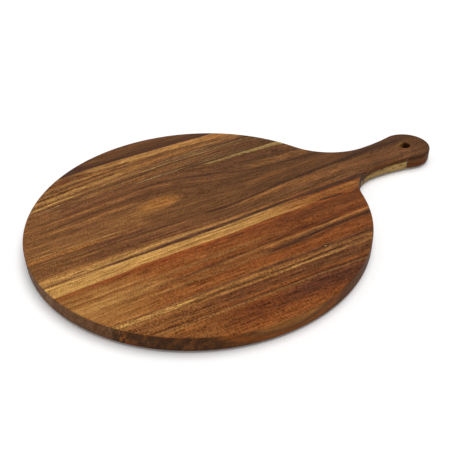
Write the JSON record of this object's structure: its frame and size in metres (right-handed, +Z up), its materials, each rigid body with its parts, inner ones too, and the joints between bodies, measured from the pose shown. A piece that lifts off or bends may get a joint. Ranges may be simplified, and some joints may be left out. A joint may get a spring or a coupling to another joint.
{
  "type": "serving platter",
  "caption": "Flat round wooden serving platter of edge-glued staves, with a flared paddle handle and a hanging hole.",
  "frame": {"origin": "centre of the round disc, on the underside", "axes": "+X along the handle, away from the disc; +Y across the staves, from the front rim to the back rim; +Z up, from the underside to the serving face"},
  "size_m": [0.487, 0.356, 0.016],
  "materials": {
    "back_wood": "dark brown acacia heartwood, oiled to a satin",
    "back_inner_wood": "brown and honey striped acacia, oiled to a satin",
    "handle_wood": "brown acacia with cathedral figure, oiled to a satin",
    "front_inner_wood": "rust-red acacia with a band of honey sapwood, oiled to a satin",
    "front_wood": "red-brown striped acacia, oiled to a satin",
    "glue": "cured dark amber wood glue, sanded flush"
  },
  "bodies": {
    "root": {"back_stave": "back_wood", "back_inner_stave": "back_inner_wood", "handle_stave": "handle_wood", "front_inner_stave": "front_inner_wood", "handle_strip": "front_inner_wood", "front_stave": "front_wood", "back_glue_line": "glue", "back_inner_glue_line": "glue", "front_inner_glue_line": "glue", "handle_strip_glue_line": "glue", "front_glue_line": "glue"}
  },
  "joints": []
}
